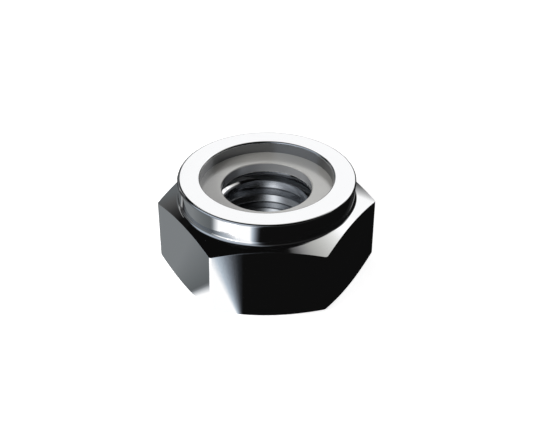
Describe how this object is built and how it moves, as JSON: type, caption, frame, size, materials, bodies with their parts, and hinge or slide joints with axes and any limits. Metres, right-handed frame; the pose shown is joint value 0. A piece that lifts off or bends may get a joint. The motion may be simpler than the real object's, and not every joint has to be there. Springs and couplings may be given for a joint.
{
  "type": "nylon insert lock nut",
  "caption": "Hexagon lock nut in polished steel, with a round collar that holds a nylon ring which grips the screw's thread.",
  "frame": {"origin": "centre of the threaded hole in the bearing face that the nut stands on", "axes": "+Z along the thread's axis from the bearing face to the collar, +Y square to one of the six flats, +X through a corner of the hexagon"},
  "size_m": [0.0126, 0.011, 0.0059],
  "materials": {
    "polished_steel": "polished, mirror-like",
    "nylon": "smooth and glossy, off-white"
  },
  "bodies": {
    "root": {"nut_body": "polished_steel", "nylon_insert": "nylon"}
  },
  "joints": []
}
